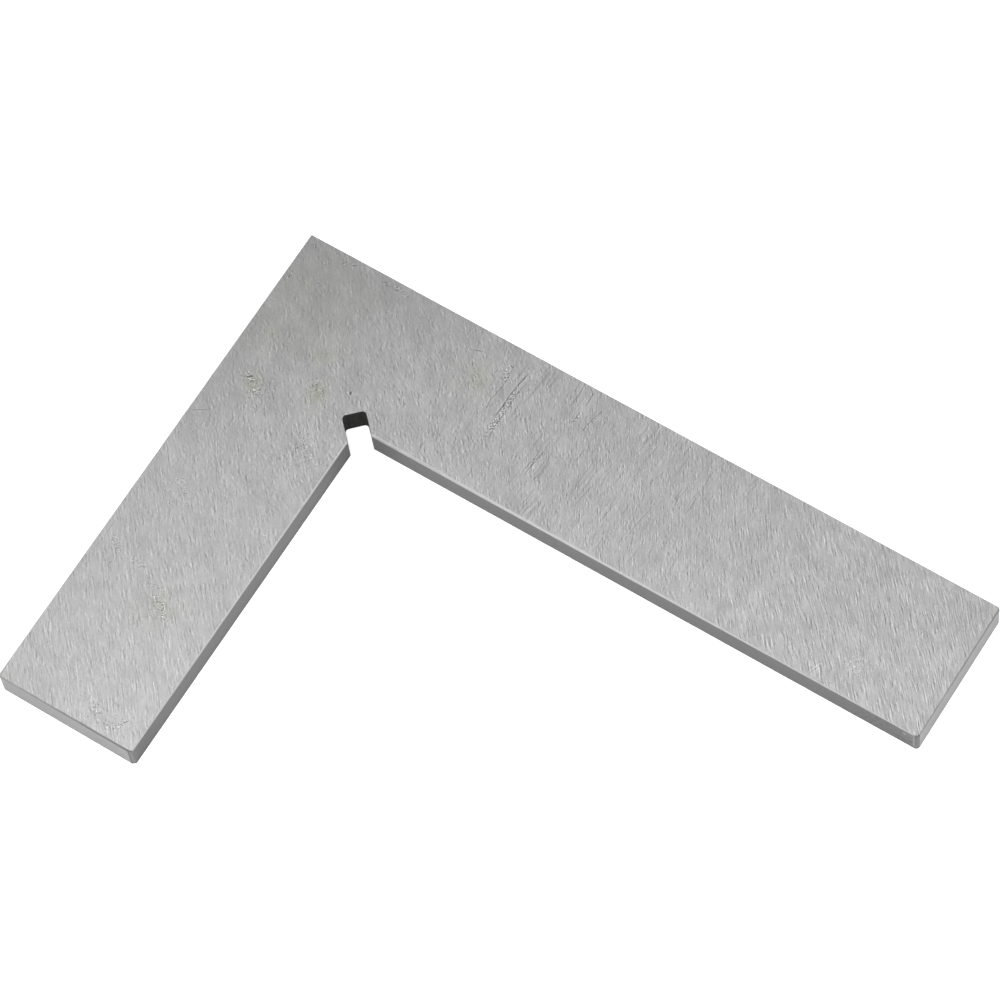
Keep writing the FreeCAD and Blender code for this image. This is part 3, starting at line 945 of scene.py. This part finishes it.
def eased_edge(name, seed):
    """The breaks along the edges: rubbed, and uneven in tone."""
    t = Tree(name)
    x, y, z = t.millimetres()
    rub = t.noise(t.attribute("run") * 0.8, z * 1.5, seed, detail=2.0, roughness=0.6)
    fleck = t.noise(x * 4.0, y * 4.0, z * 4.0, detail=1.0)
    tone = (rub - 0.5) * 0.30 + (fleck - 0.5) * 0.16
    # the attribute carries each run's painted highlight or painted shade
    level = tone.exp() * STEEL * t.attribute("ease_tone_and_light")
    return t.surface(
        Base_Color=t.rgb(level, level * 1.001, level * 0.998),
        Metallic=1.0,
        Roughness=(rub - 0.5).times(0.2, plus=0.34),
        Normal=t.bump(rub + fleck, distance=0.00001, strength=0.6),
    )


def slot_wall(name, seed):
    """The walls of the slot, left as cut and near black."""
    t = Tree(name)
    x, y, z = t.millimetres()
    # the seed is not used: these noises run in all three directions
    cut = t.noise((x - y) * 3.0, (x + y) * 3.0, z * 1.0, detail=2.0, roughness=0.6)
    fleck = t.noise(x * 2.8, y * 2.8, z * 3.0, detail=2.0, roughness=0.6)
    level = ((cut - 0.5) * 1.1 + (fleck - 0.5) * 2.6).exp() * 0.052
    return t.surface(
        Base_Color=t.rgb(level, level * 0.99, level * 0.96),
        Metallic=0.75,
        Roughness=fleck.times(0.25, plus=0.38),
        Normal=t.bump(cut + fleck, distance=0.00002, strength=0.7),
    )


plate_mesh = build_plate()
plate = bpy.data.objects.new("square_plate", plate_mesh)
bpy.context.scene.collection.objects.link(plate)
# in the order of the slots SIDE, SLOT, EASED, TOP, UNDER
for material in (
    ground_side("ground_edges", seed=3.0),
    slot_wall("slot_walls", seed=9.0),
    eased_edge("eased_edges", seed=14.0),
    ground_face("ground_face", seed=21.0, visible=True),
    ground_face("ground_underside", seed=47.0, visible=False),
):
    plate_mesh.materials.append(material)

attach(plate, "root")
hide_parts("square_body")

# ------------------------------------------------------------------ floor, light and camera, metres
scene = bpy.context.scene
centre = Vector((SHORT / 2, LONG / 2, 0)) * 0.001


def floor_material():
    """Grey to the light, and glowing a little to the camera."""
    t = Tree("pale_floor")
    seen = Value(t, t.node("ShaderNodeLightPath").outputs["Is Camera Ray"])
    pale = t.node("ShaderNodeBsdfDiffuse")
    pale.inputs["Color"].default_value = (0.5, 0.5, 0.5, 1)
    glow = t.node("ShaderNodeEmission")
    t.put(glow.inputs["Strength"], seen * 0.80)
    both = t.node("ShaderNodeAddShader")
    t.nt.links.new(pale.outputs[0], both.inputs[0])
    t.nt.links.new(glow.outputs[0], both.inputs[1])
    t.nt.links.new(both.outputs[0], t.out.inputs["Surface"])
    return t.mat


bpy.ops.mesh.primitive_circle_add(
    vertices=96, radius=6.0, fill_type="NGON", location=(centre.x, centre.y, -0.00002)
)
floor = bpy.context.object
floor.name = "floor"
floor.data.materials.append(floor_material())

# The world lights the plate less strongly than it shows to the camera
world = bpy.data.worlds.new("studio")
scene.world = world
world.use_nodes = True
nodes, links = world.node_tree.nodes, world.node_tree.links
background = nodes["Background"]
seen = nodes.new("ShaderNodeLightPath")
strength = nodes.new("ShaderNodeMapRange")
strength.inputs["To Min"].default_value = 0.43
strength.inputs["To Max"].default_value = 1.05
links.new(seen.outputs["Is Camera Ray"], strength.inputs["Value"])
background.inputs["Color"].default_value = (1, 1, 1, 1)
links.new(strength.outputs["Result"], background.inputs["Strength"])


def softbox(name, at, size, power, aim=centre):
    data = bpy.data.lights.new(name, "AREA")
    data.shape = "SQUARE"
    data.size = size
    data.energy = power
    light = bpy.data.objects.new(name, data)
    light.location = at
    light.rotation_mode = "QUATERNION"
    light.rotation_quaternion = (Vector(aim) - Vector(at)).to_track_quat("-Z", "Y")
    light.visible_camera = False
    scene.collection.objects.link(light)
    return light


def around(bearing, distance, height):
    """A place round the plate's centre; the bearing is in degrees from +x towards +y."""
    angle = math.radians(bearing)
    x = centre.x + distance * math.cos(angle)
    return x, centre.y + distance * math.sin(angle), height


for name, x, y, power in (("overhead_right", 0.15, 0.02, 1.10), ("overhead_left", 0.04, 0.22, 0.56)):
    softbox(name, (x, y, 0.50), size=0.25, power=power, aim=(x, y, 0.0))
for name, bearing, power in (("fill_right", 315, 7.0), ("fill_left", 135, 8.29)):
    fill = softbox(name, around(bearing, distance=0.8, height=0.35), size=0.4, power=power)
    fill.visible_glossy = False  # so it makes no hot spot on the steel
# low and weak, to catch the broken edges round the inside of the square
for name, bearing, power in (("edge_right", 345, 0.15), ("edge_left", 107, 0.165)):
    softbox(name, around(bearing, distance=0.6, height=0.175), size=0.2, power=power)

camera = bpy.data.objects.new("camera", bpy.data.cameras.new("camera"))
camera.data.sensor_width = 36.0
camera.data.lens = 180.753
camera.data.clip_start, camera.data.clip_end = 0.01, 50
camera.rotation_mode = "QUATERNION"
camera.location = (0.2125605, 0.2067974, 0.5654231)
camera.rotation_quaternion = Quaternion((0.47704891, 0.07276283, 0.19906149, 0.8529387))
scene.collection.objects.link(camera)
scene.camera = camera
scene.view_settings.view_transform = "Standard"
